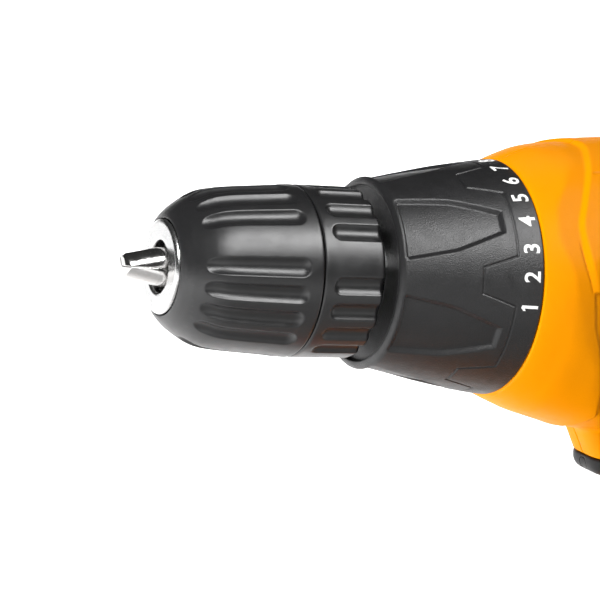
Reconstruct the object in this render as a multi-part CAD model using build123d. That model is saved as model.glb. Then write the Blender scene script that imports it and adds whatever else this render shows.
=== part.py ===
from build123d import *
import math, os

os.makedirs("parts", exist_ok=True)

# ---------------------------------------------------------------- driving dimensions (mm)
Z0 = 158.0          # height of the spindle axis above the battery base
XN = -87.65         # X of the front edge of the chuck sleeve (station 0); stations grow rearwards
REST_S0, REST_S1 = 74.0, 184.0   # battery front and rear stations

JAW_ANGLE = 14.0    # jaw axis to spindle axis
JAW_R = 3.3
JAW_APEX = -3.9     # station where the jaw axes meet the spindle axis
JAW_TIP, JAW_REAR = -8.7, 25.3
JAW_PHASE = 65.0    # direction of jaw 1 about the spindle
NOSE_R = 9.7
BIT_R = 5.3
THREAD_R = 4.76     # 3/8-24 spindle thread, major radius
SEAM_S = 28.3
SLEEVE_END = 42.3
MOUTH_S, COLLAR_END = 44.5, 75.3
DETENT = 13.5
MOD = 0.7
SUN_T, PLANET_T, RING_T = 9, 18, 45
MOTOR_R = 18.5
WALL = 2.8
RUBBER = 1.5
CELL_R, CELL_L = 9.1, 65.0

AX = Axis((0, 0, Z0), (1, 0, 0))
RAD = math.radians
TAN = math.tan(RAD(JAW_ANGLE))
C3 = (Align.CENTER, Align.CENTER, Align.CENTER)
NODES = {}


def node(name, shape):
    """Keep one named node, as one solid or a group of solids."""
    solids = shape.solids() if hasattr(shape, "solids") else [s for x in shape for s in x.solids()]
    solids = [s for s in solids if s.volume > 1e-4]
    NODES[name] = solids[0] if len(solids) == 1 else Compound(children=list(solids))
    NODES[name].label = name


def P(s, z, y=0.0):
    """A point from station, height above the spindle axis and Y."""
    return (s + XN, y, z + Z0)


def rev(pts, spline=None, arc=360):
    """Revolve a closed (station, radius) profile about the spindle axis; spline lists points of a smooth outer edge that closes the profile."""
    if spline:
        a = Spline(*[P(s, r) for s, r in spline])
        b = Polyline(P(*spline[-1]), *[P(s, r) for s, r in pts], P(*spline[0]))
        f = make_face([*a.edges(), *b.edges()])
    else:
        f = make_face(Polyline(*[P(s, r) for s, r in pts], close=True).edges())
    return revolve(f, axis=AX, revolution_arc=arc)


def tube(s0, s1, r0, r1=0.0):
    """A ring, or a disc if r1 is 0, on the spindle axis."""
    c = Pos(*P((s0 + s1) / 2, 0)) * Rot(0, 90, 0) * Cylinder(r0, s1 - s0)
    return c - Pos(*P((s0 + s1) / 2, 0)) * Rot(0, 90, 0) * Cylinder(r1, s1 - s0 + 1) if r1 else c


def rod(a, b, r):
    """A cylinder between two points."""
    a, b = Vector(*a), Vector(*b)
    return Plane(origin=(a + b) * 0.5, z_dir=(b - a)) * Cylinder(r, (b - a).length)


def capsule(a, b, r):
    return rod(a, b, r) + Pos(*a) * Sphere(r) + Pos(*b) * Sphere(r)


def block(s0, s1, y0, y1, z0, z1, r=0.0, axis="Z"):
    """A box by its limits (z from the spindle axis), with edges along one axis rounded."""
    b = Pos(*P((s0 + s1) / 2, (z0 + z1) / 2, (y0 + y1) / 2)) * Box(s1 - s0, y1 - y0, z1 - z0)
    if r:
        b = fillet(b.edges().filter_by({"X": Axis.X, "Y": Axis.Y, "Z": Axis.Z}[axis]), r)
    return b


def at(psi, shape):
    """Turn a shape made at the top (+Z) to direction psi, from -Y (0) over +Z (90)."""
    return shape.rotate(AX, 90 - psi)


def on_ring(n, shape, first=90.0):
    return [at(first + i * 360 / n, shape) for i in range(n)]


def pipe(points, r):
    """A round wire along smooth points."""
    path = Spline(*points)
    prof = Plane(origin=path @ 0, z_dir=path % 0) * Circle(r)
    return sweep(prof, path=path)


def prism(points, y0, y1):
    """Extrude a polygon of (station, height) points from y0 to y1."""
    f = make_face(Polyline(*[P(s, z, y0) for s, z in points], close=True).edges())
    return extrude(f, amount=y1 - y0, dir=(0, 1, 0))


# ---------------------------------------------------------------- gears
def gear_points(teeth, add, ded, thick, inside=False):
    """Tooth outline points of one gear, with a tooth on angle 0. thick is tooth width at the pitch circle."""
    rp = MOD * teeth / 2
    rb = rp * math.cos(RAD(20))
    ra, rd = (rp - add, rp + ded) if inside else (rp + add, rp - ded)
    inv = lambda r: math.tan(math.acos(min(1, rb / r))) - math.acos(min(1, rb / r)) if r > rb else 0.0
    half = thick / 2 / rp
    pts = []
    n = 5
    radii = [ra + (rd - ra) * i / n for i in range(n + 1)]
    side = []
    for r in radii:
        h = half + (inv(r) - inv(rp) if inside else inv(rp) - inv(r))
        if not inside and r < rb:
            h -= 0.10 * (rb - r) / rp * 2.2
        side.append((r, max(h, 0.02)))
    for k in range(teeth):
        c = 2 * math.pi * k / teeth
        for r, h in reversed(side):
            pts.append((r, c - h))
        for r, h in side:
            pts.append((r, c + h))
    return pts


def gear_face(teeth, add, ded, thick, s, inside=False, outer=0.0, centre=(0.0, 0.0), turn=0.0):
    """The gear's face at station s; angle 0 is +Z."""
    cy, cz = centre
    pts = [P(s, cz + r * math.cos(a + turn), cy + r * math.sin(a + turn)) for r, a in gear_points(teeth, add, ded, thick, inside)]
    return make_face(Polyline(*pts, close=True).edges())


T_SUN = T_PLANET = T_RING = 0.90


def sun(s0, s1):
    return extrude(gear_face(SUN_T, 0.62, 0.85, T_SUN, s0), amount=s1 - s0, dir=(1, 0, 0))


def planet(s0, s1, i, bore):
    r = MOD * (SUN_T + PLANET_T) / 2
    g = extrude(gear_face(PLANET_T, 0.60, 0.85, T_PLANET, s0, centre=(0, r), turn=math.pi / PLANET_T), amount=s1 - s0, dir=(1, 0, 0))
    g -= rod(P(s0 - 1, r), P(s1 + 1, r), bore)
    return at(90 - 120 * i, g)


def ring(s0, s1, r_out):
    g = tube(s0, s1, r_out)
    return g - extrude(gear_face(RING_T, 0.60, 0.85, T_RING, s0 - 0.5, inside=True), amount=s1 - s0 + 1, dir=(1, 0, 0))


# ---------------------------------------------------------------- chuck
def jaw_out(s):
    return (s - JAW_APEX) * TAN + JAW_R / math.cos(RAD(JAW_ANGLE))


JD = (math.cos(RAD(JAW_ANGLE)), 0, math.sin(RAD(JAW_ANGLE)))


def along_jaw(t):
    return (JAW_APEX + XN + JD[0] * t, 0, Z0 + JD[2] * t)


def jaw():
    j = rod(along_jaw(-9), along_jaw(40), JAW_R)
    j &= block(JAW_TIP, JAW_REAR, -12, 12, -2, 30)
    wedge = make_face(Polyline(*[P(JAW_TIP - 1, z, y) for y, z in ((0, 0.03), (26, 15.05), (0, 40), (-26, 15.05))], close=True).edges())
    j &= extrude(wedge, amount=60, dir=(1, 0, 0))
    tip = [(JAW_TIP, 0), (JAW_TIP, 1.85), (JAW_TIP + 0.45, 2.42), (JAW_REAR + 1, 14), (JAW_REAR + 1, 0)]
    j &= rev(tip)
    teeth = [rev([(s - 0.55, jaw_out(s) + 0.3), (s + 0.55, jaw_out(s) + 0.3), (s, jaw_out(s) - 0.5)]) for s in [3.0 + 1.5 * i for i in range(15)]]
    return j - teeth


body = rev([(-0.8, BIT_R + 0.35), (-0.8, NOSE_R - 0.4), (-0.4, NOSE_R), (3.0, NOSE_R), (3.0, 11.4), (18.2, 11.4), (18.2, 8.6), (24.55, 8.6), (24.55, 14.9),
            (37.0, 14.9), (37.0, 9.5), (46.0, 9.5), (46.0, THREAD_R + 0.05), (33.0, THREAD_R + 0.05), (33.0, 2.6), (30.45, 2.6), (30.45, 4.3), (26.0, 4.3), (26.0, BIT_R), (-0.45, BIT_R)])
body -= [at(JAW_PHASE + 120 * i, rod(along_jaw(-9), along_jaw(56), JAW_R + 0.05)) for i in range(3)]
node("chuck_body", body)
for i in range(3):
    node(f"jaw_{i + 1}", at(JAW_PHASE - 120 * i, jaw()))

nut = rev([(18.4, jaw_out(18.4) + 0.06), (18.4, 14.0), (22.6, 14.0), (22.6, jaw_out(22.6) + 0.06)])
slit = block(17, 24, -20, 20, -0.02, 0.02)
node("jaw_nut", at(JAW_PHASE + 60, nut - slit.rotate(AX, 90)))
node("nut_balls", on_ring(20, Pos(*P(23.575, 12.6)) * Sphere(0.93)))

SLEEVE_OUT = [(0.0, 10.3), (0.7, 11.3), (2.06, 12.72), (4.13, 14.2), (6.19, 15.42), (8.25, 16.2), (10.3, 16.62), (14.4, 17.05), (20.6, 17.5), (26.0, 17.9), (28.0, 18.0)]
front = rev([(28.2, 17.85), (28.2, 15.05), (22.7, 15.05), (22.7, 14.05), (18.0, 14.05), (18.0, 11.6), (2.9, 11.6), (2.9, 9.9), (0.0, 9.9)], spline=SLEEVE_OUT)
front -= [at(48 + 18 * k, capsule(P(6.6, 15.55 + 1.25), P(22.9, 17.62 + 1.25), 2.2)) for k in range(20) if k % 5 != 4]
node("front_sleeve", front)

rear = rev([(28.6, 15.0), (28.6, 17.8), (28.8, 18.0), (41.2, 18.0), (41.95, 17.7), (42.3, 17.0), (42.3, 16.3), (37.2, 16.3), (37.2, 15.0)])
rear -= [at(37 + 18 * k, capsule(P(33.0, 18.0 + 1.25), P(46.0, 17.9 + 1.25), 2.2)) for k in range(20) if k % 5 != 4]
node("rear_sleeve", rear)

screw = tube(27.6, 30.4, 3.9) + tube(30.4, 45.0, 2.45)
screw -= Pos(*P(28.3, 0)) * Rot(0, 90, 0) * extrude(RegularPolygon(2.0, 6), amount=1.8, both=True)
node("chuck_screw", screw)

# ---------------------------------------------------------------- output spindle, front bearing
PIN_R = MOD * (SUN_T + PLANET_T) / 2
spindle = tube(33.1, 46.1, THREAD_R) + tube(46.1, 48.4, 7.9) + tube(48.4, 74.3, 6.0) + tube(74.3, 77.3, 13.5)
spindle -= tube(32, 47, 2.5)
spindle += [at(90 - 120 * i, rod(P(77.3, PIN_R), P(84.6, PIN_R), 1.8)) for i in range(3)]
spindle -= tube(76.2, 78, 4.4)
node("output_spindle", spindle)
bearing = [tube(48.5, 56.5, 8.2, 6.0), tube(48.5, 56.5, 14.0, 11.8)] + [at(90 + 40 * i, Pos(*P(52.5, 10.0)) * Sphere(1.78)) for i in range(9)]
node("front_bearing", bearing)

# ---------------------------------------------------------------- clutch
COLLAR_OUT = [(45.3, 20.35), (49.5, 21.25), (55.7, 22.45), (61.9, 23.5), (68.1, 24.4), (74.6, 25.3)]
collar = rev([(44.5, 18.75), (44.6, 19.3), (44.9, 19.95), (45.3, 20.35)] + COLLAR_OUT[1:] + [(75.1, 25.3), (75.1, 23.1), (69.3, 23.1), (69.3, 18.75), (47.0, 18.75), (47.0, 18.55), (44.7, 18.55)])


def cone_r(s):
    for (a, ra), (b, rb) in zip(COLLAR_OUT, COLLAR_OUT[1:]):
        if s <= b:
            return ra + (rb - ra) * (s - a) / (b - a)
    return COLLAR_OUT[-1][1]


def leaf():
    """Tool that sinks one tapering panel into the collar, made at the top."""
    depth = 0.85
    w = [(45.7, 19.0), (56.7, 14.5), (67.0, 5.3)]
    pts = [P(s, 40, -math.sin(RAD(a)) * 24) for s, a in w] + [P(s, 40, math.sin(RAD(a)) * 24) for s, a in reversed(w)]
    f = make_face(Polyline(*pts, close=True).edges())
    col = extrude(f, amount=-28, dir=(0, 0, 1))
    skin = rev([(45.3, 20.35 - depth)] + [(s, r - depth) for s, r in COLLAR_OUT[1:]] + [(74.6, 30), (45.3, 30)])
    return col & skin


collar -= [at(38.3 + 60 * k, leaf()) for k in range(6)]
collar -= rev([(69.15, 23), (69.15, 24.35), (69.42, 24.75), (69.69, 24.4), (69.69, 23)]) - tube(68, 71, 24.25)
collar -= [at(90 + 120 * k, block(47, 69.3, -2.2, 2.2, 15, 19.55)) for k in range(3)]
node("torque_collar", collar)

nut = tube(50.2, 54.2, 18.5, 15.7) + [at(90 + 120 * k, block(50.2, 54.2, -2.05, 2.05, 17.5, 19.4)) for k in range(3)]
node("clutch_nut", nut)
helix = Helix(pitch=3.55, height=11.4, radius=17.05, center=P(55.0, 0), direction=(1, 0, 0))
wire = Plane(origin=helix @ 0, z_dir=helix % 0) * Circle(0.72)
node("clutch_spring", sweep(wire, path=helix, is_frenet=True))
node("clutch_washer", tube(67.3, 68.8, 18.4, 15.75))
node("clutch_balls", on_ring(6, Pos(*P(71.42, 17.6)) * Sphere(2.4), first=60))

# ---------------------------------------------------------------- gearbox
gfront = rev([(47.0, 12.5), (47.0, 15.6), (69.3, 15.6), (69.3, 22.35), (74.0, 22.35), (74.0, 9.0), (66.5, 9.0), (66.5, 6.06), (56.6, 6.06), (56.6, 14.02), (48.4, 14.02), (48.4, 12.5)])
gfront -= on_ring(6, rod(P(68, 17.6), P(75, 17.6), 2.45), first=60)
node("gearbox_front", gfront)
case = tube(74.02, 99.4, 21.8, 19.5)
LUGS = [45, 135, 225, 315]
case += [at(p, rod(P(93.6, 22.6), P(99.4, 22.6), 2.7)) for p in LUGS]
case -= tube(74, 99.5, 19.5)
case -= [at(p, rod(P(91, 22.6), P(100, 22.6), 1.3)) for p in LUGS]
case -= block(86.5, 94.2, -25, 25, -1.4, 1.4)
node("gearbox_case", case)
node("ring_gear_front", ring(74.1, 85.0, 19.4))
shift_ring = ring(88.2, 96.4, 19.4) - tube(90.9, 93.1, 20, 18.3)
node("ring_gear_rear", shift_ring)
for i in range(3):
    node(f"planet_front_{i + 1}", planet(77.6, 84.4, i, 1.88))
    node(f"planet_rear_{i + 1}", planet(88.3, 95.0, i, 1.88))
carrier = sun(77.5, 85.3) + tube(85.3, 88.0, 13.5)
carrier += [at(90 - 120 * i, rod(P(88.0, PIN_R), P(95.2, PIN_R), 1.8)) for i in range(3)]
node("rear_carrier", carrier)
node("motor_pinion", sun(88.4, 96.0) + tube(96.0, 97.4, 2.2) - tube(88, 98, 1.6))
plate = tube(99.4, 101.2, 24.6, 6.6) - [at(p, rod(P(98, 22.6), P(103, 22.6), 1.65)) for p in LUGS] - [at(p, rod(P(98, 12.5), P(103, 12.5), 1.65)) for p in (0, 180)]
plate -= rod(P(98, 24.9), P(103, 24.9), 1.35)          # notch that the shift wire passes through
node("motor_plate", plate)
gscrew = rod(P(93.0, 22.6), P(101.2, 22.6), 1.25) + rod(P(101.2, 22.6), P(103.0, 22.6), 2.6)
node("gearbox_screws", [at(p, gscrew) for p in LUGS])

# ---------------------------------------------------------------- motor
M0 = 101.3
can = rev([(M0, 3.3), (M0, MOTOR_R - 1.2), (M0 + 1.2, MOTOR_R), (M0 + 50, MOTOR_R), (M0 + 50, MOTOR_R - 1.2), (M0 + 1.4, MOTOR_R - 1.2), (M0 + 1.4, 3.3)])
can += tube(99.5, M0, 6.4, 3.3)
can -= [at(p, block(M0 + 4, M0 + 10, -5, 5, 10, 25, 1.5, "Z")) for p in (45, 135, 225, 315)]
node("motor_can", can)
mag = tube(M0 + 8, M0 + 42, 17.2, 13.9)
mag -= block(M0, M0 + 50, -4, 4, -30, 30)
node("motor_magnets", mag)
arm = tube(88.9, M0 + 56, 1.58) + tube(M0 + 10, M0 + 40, 13.3)
arm -= [at(90 + 72 * i, block(M0 + 9, M0 + 41, -1.1, 1.1, 6, 20)) for i in range(5)]
arm += [at(54 + 72 * i, block(M0 + 7.2, M0 + 42.8, -3.6, 3.6, 5.0, 11.2, 1.6, "X")) for i in range(5)]
arm += tube(M0 + 7.5, M0 + 42.5, 5.6) + tube(M0 + 43.2, M0 + 49.5, 4.6)
node("armature", arm)
fan = tube(M0 + 2.4, M0 + 3.2, 15.5) + tube(M0 + 2.4, M0 + 6.4, 4.0) + [at(90 + 40 * i, block(M0 + 3.2, M0 + 6.6, -0.5, 0.5, 6.0, 15.0)) for i in range(9)]
fan -= tube(M0, M0 + 10, 1.6)
node("motor_fan", fan)
cap = tube(M0 + 50.02, M0 + 53.5, MOTOR_R, 2.2) + tube(M0 + 53.5, M0 + 58.0, 6.0)
cap += tube(M0 + 44.0, M0 + 50.02, 17.2, 14.6)
cap -= tube(M0 + 40, M0 + 57, 2.2)
cap -= block(M0 + 43.0, M0 + 49.9, -14.7, 14.7, -3.1, 3.1)
node("motor_end_cap", cap)
node("carbon_brushes", [block(M0 + 44.0, M0 + 49.0, 4.7, 14.0, -2.5, 2.5, 0.3, "Y"), block(M0 + 44.0, M0 + 49.0, -14.0, -4.7, -2.5, 2.5, 0.3, "Y")])

# ---------------------------------------------------------------- housing forms
BARREL = [(75.3, 25.6), (76.4, 26.15), (78.4, 27.0), (80.5, 27.85), (82.5, 28.55), (84.6, 29.15), (88.7, 29.95), (92.8, 30.5), (97.0, 31.2), (106.0, 32.2), (120.0, 32.7), (140.0, 32.7), (156.0, 31.4), (166.0, 28.6), (171.5, 24.6), (174.0, 18.5)]
# height, half width, front station, rear station, corner radius
HANDLE = [(-14.0, 22.0, 118.0, 172.0, 15.0), (-30.0, 20.5, 122.5, 171.0, 15.0), (-48.0, 18.6, 127.5, 170.5, 14.0), (-68.0, 17.2, 129.5, 170.5, 13.5), (-88.0, 17.4, 130.5, 172.0, 13.5), (-100.0, 20.0, 127.0, 174.5, 14.0), (-107.0, 25.5, 118.0, 177.5, 15.0), (-113.0, 31.0, 104.0, 179.5, 16.0)]
FOOT = (86.0, 182.0, 35.5, -124.0, -110.5)


def half(to):
    """The left half space, up to y = to."""
    return block(60, 200, -60, to, -140, 60)


def barrel(off, to):
    pts = [(s, max(r - off, 1)) for s, r in BARREL]
    if off:
        pts = [(75.2, pts[0][1])] + [p for p in pts[1:] if p[0] < 174 - off - 0.5] + [(174.0 - off, 17.0)]
    b = rev([(pts[0][0], 0)] + pts + [(pts[-1][0], 0)])
    side = 28.8 - off
    return b & Pos(*P(125, 0, (to - side) / 2)) * Box(120, side + to, 90)


def grip_form(off, to):
    faces = [Pos(*P((a + b) / 2, z)) * RectangleRounded(b - a - 2 * off, 2 * (hy - off), max(r - off, 2)) for z, hy, a, b, r in HANDLE]
    return loft(Sketch() + faces, ruled=False) & half(to)


def foot_form(off, to):
    a, b, hy, z0, z1 = FOOT
    f = block(a + off, b - off, -(hy - off), hy - off, z0 - (1 if off else 0), z1 - off, 13.0 - off, "Z")
    return fillet(f.edges().group_by(Axis.Z)[-1], 4.0) & half(to)


def boss_form(off, to):
    """Neck under the front of the barrel; its nose leans back and down."""
    def plan(z):
        a = 95.1 - (z + 20.0) * 0.556 + off
        return Pos(*P((a + 140.0) / 2, z)) * RectangleRounded(140.0 - a, 2 * (9.0 - off), 6.6 - off)
    f = loft(Sketch() + [plan(-20.0), plan(-46.6 + off)], ruled=True)
    return f - block(90, 118.2 + off, -20, 20, -60, -39.4 + off)


outer = barrel(0, 0) + grip_form(0, 0) + (boss_form(0, 0) & half(0))
outer += foot_form(0, 0)
mid = barrel(RUBBER, 5) + grip_form(RUBBER, 5)
inner = barrel(WALL, 5) + grip_form(WALL, 5) + boss_form(WALL, 5)
inner &= block(70, 190, -50, 50, -109.0, 50)

# rubber covers the back of the barrel, the back strap and the sides of the grip, and wraps the front below the trigger
RUB = [(178, 30), (160, 30), (158, 14), (158, -8), (154, -22), (148, -36), (142, -48), (139, -78), (125, -82), (122, -95), (124, -101), (182, -101), (182, -60), (180, -20)]
zone = prism(RUB, -40, 40)
rubber = (outer & zone) - mid
shell = outer - inner - zone + ((outer & zone & mid) - inner)

# bulkheads that hold the gearbox and motor
for s0, s1, r in ((96.8, 99.2, 22.0), (106.0, 108.5, MOTOR_R + 0.1), (148.5, 151.0, MOTOR_R + 0.1)):
    web = (tube(s0, s1, 40, r) & barrel(WALL - 0.3, 5)) & half(0)
    web &= block(60, 190, -60, 60, -14.0 if s0 > 140 else -60, 60)
    shell += web - [at(p, rod(P(90, 22.6), P(104, 22.6), 3.0)) for p in LUGS]
# screw posts: station, height, seat depth on the left
POSTS = [(128.0, 26.2, 15.5), (166.5, 12.0, 19.5), (163.5, -28.5, 15.0), (165.5, -88.0, 12.5), (138.0, -84.5, 12.5), (131.0, -104.0, 15.5), (168.5, -104.0, 15.5)]
for s, z, d in POSTS:
    shell += (rod(P(s, z, -d - 2.5), P(s, z, 0), 3.5) & outer) - rubber
# ways through the shell
shell -= block(95, 119, -5.3, 5.3, 25.9, 28.3) + block(86, 110.5, -2.0, 2.0, 23.4, 27.0)   # selector plate and stem of the shift fork
shell -= tube(74, 76.0, 23.0)
shell -= block(116, 140.5, -9.8, 9.8, -72.6, -46.8)                         # trigger
shell -= block(133.6, 142.4, -40, 40, -45.4, -38.9, 1.5, "Y")               # direction lever
shell -= block(102.0, 117.7, -5.2, 5.2, 26.5, 40)                           # speed selector
shell -= block(84, 176.2, -27.2, 27.2, -130, -112.6)                        # battery tower
shell -= block(84, 176.2, -30.2, 30.2, -119.2, -116.2)                      # battery rails
shell -= block(140, 158, -17, 17, -118, -108)                               # terminal block seat
for i in range(5):
    v = 124.0 + 5.6 * i
    shell -= prism([(v, -6), (v + 2.4, -6), (v + 5.6, 8), (v + 3.2, 8)], -40, -20)
INS = (131.0, -116.9)
shell -= rod(P(INS[0], INS[1], -31.0), P(INS[0], INS[1], -40.0), 3.0)

right = mirror(shell, about=Plane.XZ)
left = shell
for s, z, d in POSTS:
    left -= rod(P(s, z, -50), P(s, z, -d), 3.1)
    left -= rod(P(s, z, -d - 1), P(s, z, 1), 1.5)
    right -= rod(P(s, z, -1), P(s, z, d - 2), 1.5)
node("housing_left", left)
node("housing_right", right)
rubber -= block(116, 140.5, -9.8, 9.8, -72.6, -46.8)
node("grip_right", mirror(rubber, about=Plane.XZ))
node("grip_left", rubber - [rod(P(s, z, -50), P(s, z, -d), 3.1) for s, z, d in POSTS])
hs = []
for s, z, d in POSTS:
    scr = rod(P(s, z, -d - 2.0), P(s, z, -d), 2.8) + rod(P(s, z, -d), P(s, z, d - 4.0), 1.45)
    hs.append(scr - Pos(*P(s, z, -d - 1.6)) * Rot(90, 0, 0) * extrude(RegularPolygon(1.3, 6), amount=1.0, both=True))
node("housing_screws", hs)

# ---------------------------------------------------------------- work light
bez = block(105.9, 118.1, -8.8, 8.8, -44.4, -39.5, 5.8, "Z")
bez = fillet(bez.edges().group_by(Axis.Z)[0], 1.8)
bez -= rod(P(100, -41.9), P(114, -41.9), 1.75)
node("light_bezel", bez)
node("light_lens", rod(P(106.4, -41.9), P(113.9, -41.9), 1.7))

# ---------------------------------------------------------------- trigger, switch, direction lever
trig = prism([(120.5, -47.1), (132.5, -47.1), (132.5, -72.3), (121.5, -72.3), (118.8, -68.0), (118.2, -64.0), (119.2, -57.0), (118.4, -51.0)], -9.5, 9.5)
trig &= block(118.0, 140.0, -9.5, 9.5, -73, -46, 6.0, "Z")
trig += rod(P(132.5, -56), P(144.0, -56), 2.4)
node("trigger", trig)
helix = Helix(pitch=1.9, height=7.4, radius=4.2, center=P(133.1, -56), direction=(1, 0, 0))
node("trigger_spring", sweep(Plane(origin=helix @ 0, z_dir=helix % 0) * Circle(0.4), path=helix, is_frenet=True))
sw = block(141.0, 163.0, -12, 12, -78.0, -46.5, 1.2, "Y") - rod(P(140, -56), P(154, -56), 2.55)
sw += block(146, 157, -12.8, 12.8, -70, -60)
sw += block(141.6, 148.0, -5, 5, -46.5, -45.8)
node("switch_body", sw)
lev = block(134.0, 142.0, -22.3, 22.3, -45.1, -39.3, 1.2, "Y")
node("direction_lever", fillet(lev.edges().group_by(Axis.Y)[0] + lev.edges().group_by(Axis.Y)[-1], 0.9))


def lead(points, r=0.95):
    return pipe([P(*p) for p in points], r)


wires = [lead([(157.0, -79.0, 4), (155.5, -88, 5), (152.0, -99, 5), (149, -107.6, 4)]), lead([(151.0, -79.0, 7.5), (150.0, -88, 9), (149, -99, 9.5), (147, -107.6, 8)])]
wires += [lead([(154.0, -45.5, s * 8.5), (154.5, -34, s * 10.5), (155.5, -24, s * 13.0), (157.0, -18, s * 13.5), (158.5, -11, s * 12), (156.4, -6.5, s * 10.5)]) for s in (-1, 1)]
node("wiring", wires)
tb = block(141.0, 157.0, -16, 16, -118.5, -108.8, 1.0, "Z")
tb -= [block(139.0, 159.0, y - 1.2, y + 1.2, -119, -113.6) for y in (-12, -4, 4, 12)]
node("terminal_block", tb)

# ---------------------------------------------------------------- speed selector and fork
sel = block(110.3, 117.4, -5.0, 5.0, 26.8, 34.6, 0.8, "Z")
sel += block(105.6, 117.4, -5.0, 5.0, 26.2, 27.8)
sel -= block(106.8, 114.3, -1.3, 1.3, 25, 28.9)
sel = sel - [block(s, s + 0.8, -6, 6, 34.0, 36) for s in (111.6, 113.4, 115.2)]
node("speed_selector", sel)
fork = revolve(Plane(origin=P(92.0, 23.4), z_dir=(0, 1, 0)) * Circle(0.95), axis=AX, revolution_arc=180).rotate(AX, -90)
for sgn in (-1, 1):
    fork += rod(P(92.0, 0, sgn * 23.6), P(92.0, 0, sgn * 18.5), 0.95)
    fork += Pos(*P(92.0, 0, sgn * 23.4)) * Sphere(0.95)
fork += rod(P(92.0, 23.4), P(92.0, 24.9), 0.95) + Pos(*P(92.0, 24.9)) * Sphere(0.95)
fork += rod(P(92.0, 24.9), P(108.0, 24.9), 0.95) + Pos(*P(108.0, 24.9)) * Sphere(0.95)
fork += rod(P(108.0, 24.9), P(108.0, 27.6), 0.95)
node("shift_fork", fork)

# ---------------------------------------------------------------- clip inserts
node("clip_inserts", [rod(P(INS[0], INS[1], s * 31.2), P(INS[0], INS[1], s * 35.45), 2.95) - rod(P(INS[0], INS[1], s * 30), P(INS[0], INS[1], s * 40), 2.0) for s in (-1, 1)])

# ---------------------------------------------------------------- battery
B0, B1 = REST_S0, REST_S1


def pack(off, z0, z1, hy=37.0):
    return block(B0 + off, B1 - off, -(hy - off), hy - off, z0, z1, 12.0 - off, "Z")


base = pack(0, -158.0, -135.0)
base = fillet(base.edges().group_by(Axis.Z)[0], 3.5)
base -= pack(2.4, -155.4, -134.0)
BS = [(B0 + 5.2, -28), (B0 + 5.2, 28), (B1 - 5.2, -28), (B1 - 5.2, 28)]
for s, y in BS:
    base += rod(P(s, -155.6, y), P(s, -135.1, y), 3.4) & pack(0, -157.9, -135.05)
    base -= rod(P(s, -158.5, y), P(s, -150.0, y), 2.5)
    base -= rod(P(s, -151, y), P(s, -134, y), 1.5)
base -= block(B0 - 1, 86.2, -13.2, 13.2, -138.4, -134.0)
base += block(77.6, 81.8, -8.5, 8.5, -141.5, -133.6) + block(75.0, 81.8, -8.5, 8.5, -141.5, -138.6)
node("battery_base", base)
lid = pack(0, -135.0, -124.2)
lid = fillet(lid.edges().group_by(Axis.Z)[-1], 2.0)
lid += block(87.0, 175.8, -26.9, 26.9, -126.0, -113.2, 4.0, "Z")
lid += block(90.0, 175.0, -29.8, 29.8, -119.0, -116.6)
lid -= pack(2.4, -136.0, -126.8)
lid -= block(89.5, 173.4, -24.4, 24.4, -127.5, -115.6)
lid -= [block(138.0, 177, y - 1.0, y + 1.0, -118.0, -112.0) for y in (-12, -4, 4, 12)]
lid -= block(139.8, 177.0, -17.0, 17.0, -120.5, -112.0)
lid -= block(B0 - 1, 86.0, -13.2, 13.2, -136.0, -120.0)
lid += block(86.0, 87.4, -13.2, 13.2, -134.0, -120.0)
for s, y in BS:
    lid += rod(P(s, -135.0, y), P(s, -126.0, y), 3.2) & pack(0, -135.0, -125.0)
    lid -= rod(P(s, -136.5, y), P(s, -130.0, y), 1.35)
lid -= block(B0 - 1, 86.0, -13.2, 13.2, -137.0, -120.0)
node("battery_lid", lid)
cells = [rod(P(129.0 + 18.4 * i, -145.9, -CELL_L / 2), P(129.0 + 18.4 * i, -145.9, CELL_L / 2), CELL_R) + rod(P(129.0 + 18.4 * i, -145.9, (-1) ** i * CELL_L / 2), P(129.0 + 18.4 * i, -145.9, (-1) ** i * (CELL_L / 2 + 0.8)), 3.0) for i in range(-2, 3)]
node("battery_cells", cells)
strips = [block(126.0 + 18.4 * i, 151.0 + 18.4 * i, s * 33.4 - 0.1, s * 33.4 + 0.1, -149.5, -142.3) for i, s in ((-2, 1), (-1, -1), (0, 1), (1, -1))]
blades = [block(141.5, 156.5, y - 0.4, y + 0.4, -124.5, -114.4) for y in (-12, -4, 4, 12)]
node("battery_contacts", blades + strips)
pcb = block(100, 168, -20, 20, -126.4, -124.8)
node("battery_board", pcb)
node("battery_screws", [rod(P(s, -150.0, y), P(s, -131.0, y), 1.3) + rod(P(s, -152.0, y), P(s, -150.0, y), 2.4) for s, y in BS])
but = prism([(B0 + 0.3, -134.6), (B0 + 0.3, -125.0), (B0 + 4.5, -120.6), (85.6, -120.6), (85.6, -134.6)], -12.9, 12.9)
but -= block(B0 + 2.8, 83.6, -10.5, 10.5, -136, -123.0)
but += block(83.0, 85.6, -8, 8, -120.7, -117.6)
node("battery_button", but)
spr = []
for y in (-6.0, 6.0):
    helix = Helix(pitch=2.2, height=9.0, radius=2.2, center=P(79.6, -133.2, y), direction=(0, 0, 1))
    spr.append(sweep(Plane(origin=helix @ 0, z_dir=helix % 0) * Circle(0.3), path=helix, is_frenet=True))
node("button_springs", spr)

# ---------------------------------------------------------------- export
lo, hi = [1e9] * 3, [-1e9] * 3
for name, shape in NODES.items():
    export_step(shape, f"parts/{name}.step")
    bb = shape.bounding_box()
    lo = [min(a, b) for a, b in zip(lo, (bb.min.X, bb.min.Y, bb.min.Z))]
    hi = [max(a, b) for a, b in zip(hi, (bb.max.X, bb.max.Y, bb.max.Z))]
    print(f"{name:18s} solids {len(shape.solids())} volume {shape.volume:10.2f} valid {shape.is_valid}")
print("nodes", len(NODES), "box", [round(v, 3) for v in lo], [round(v, 3) for v in hi])
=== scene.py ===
import bpy, math
import numpy as np
from mathutils import Vector, Matrix


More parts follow.
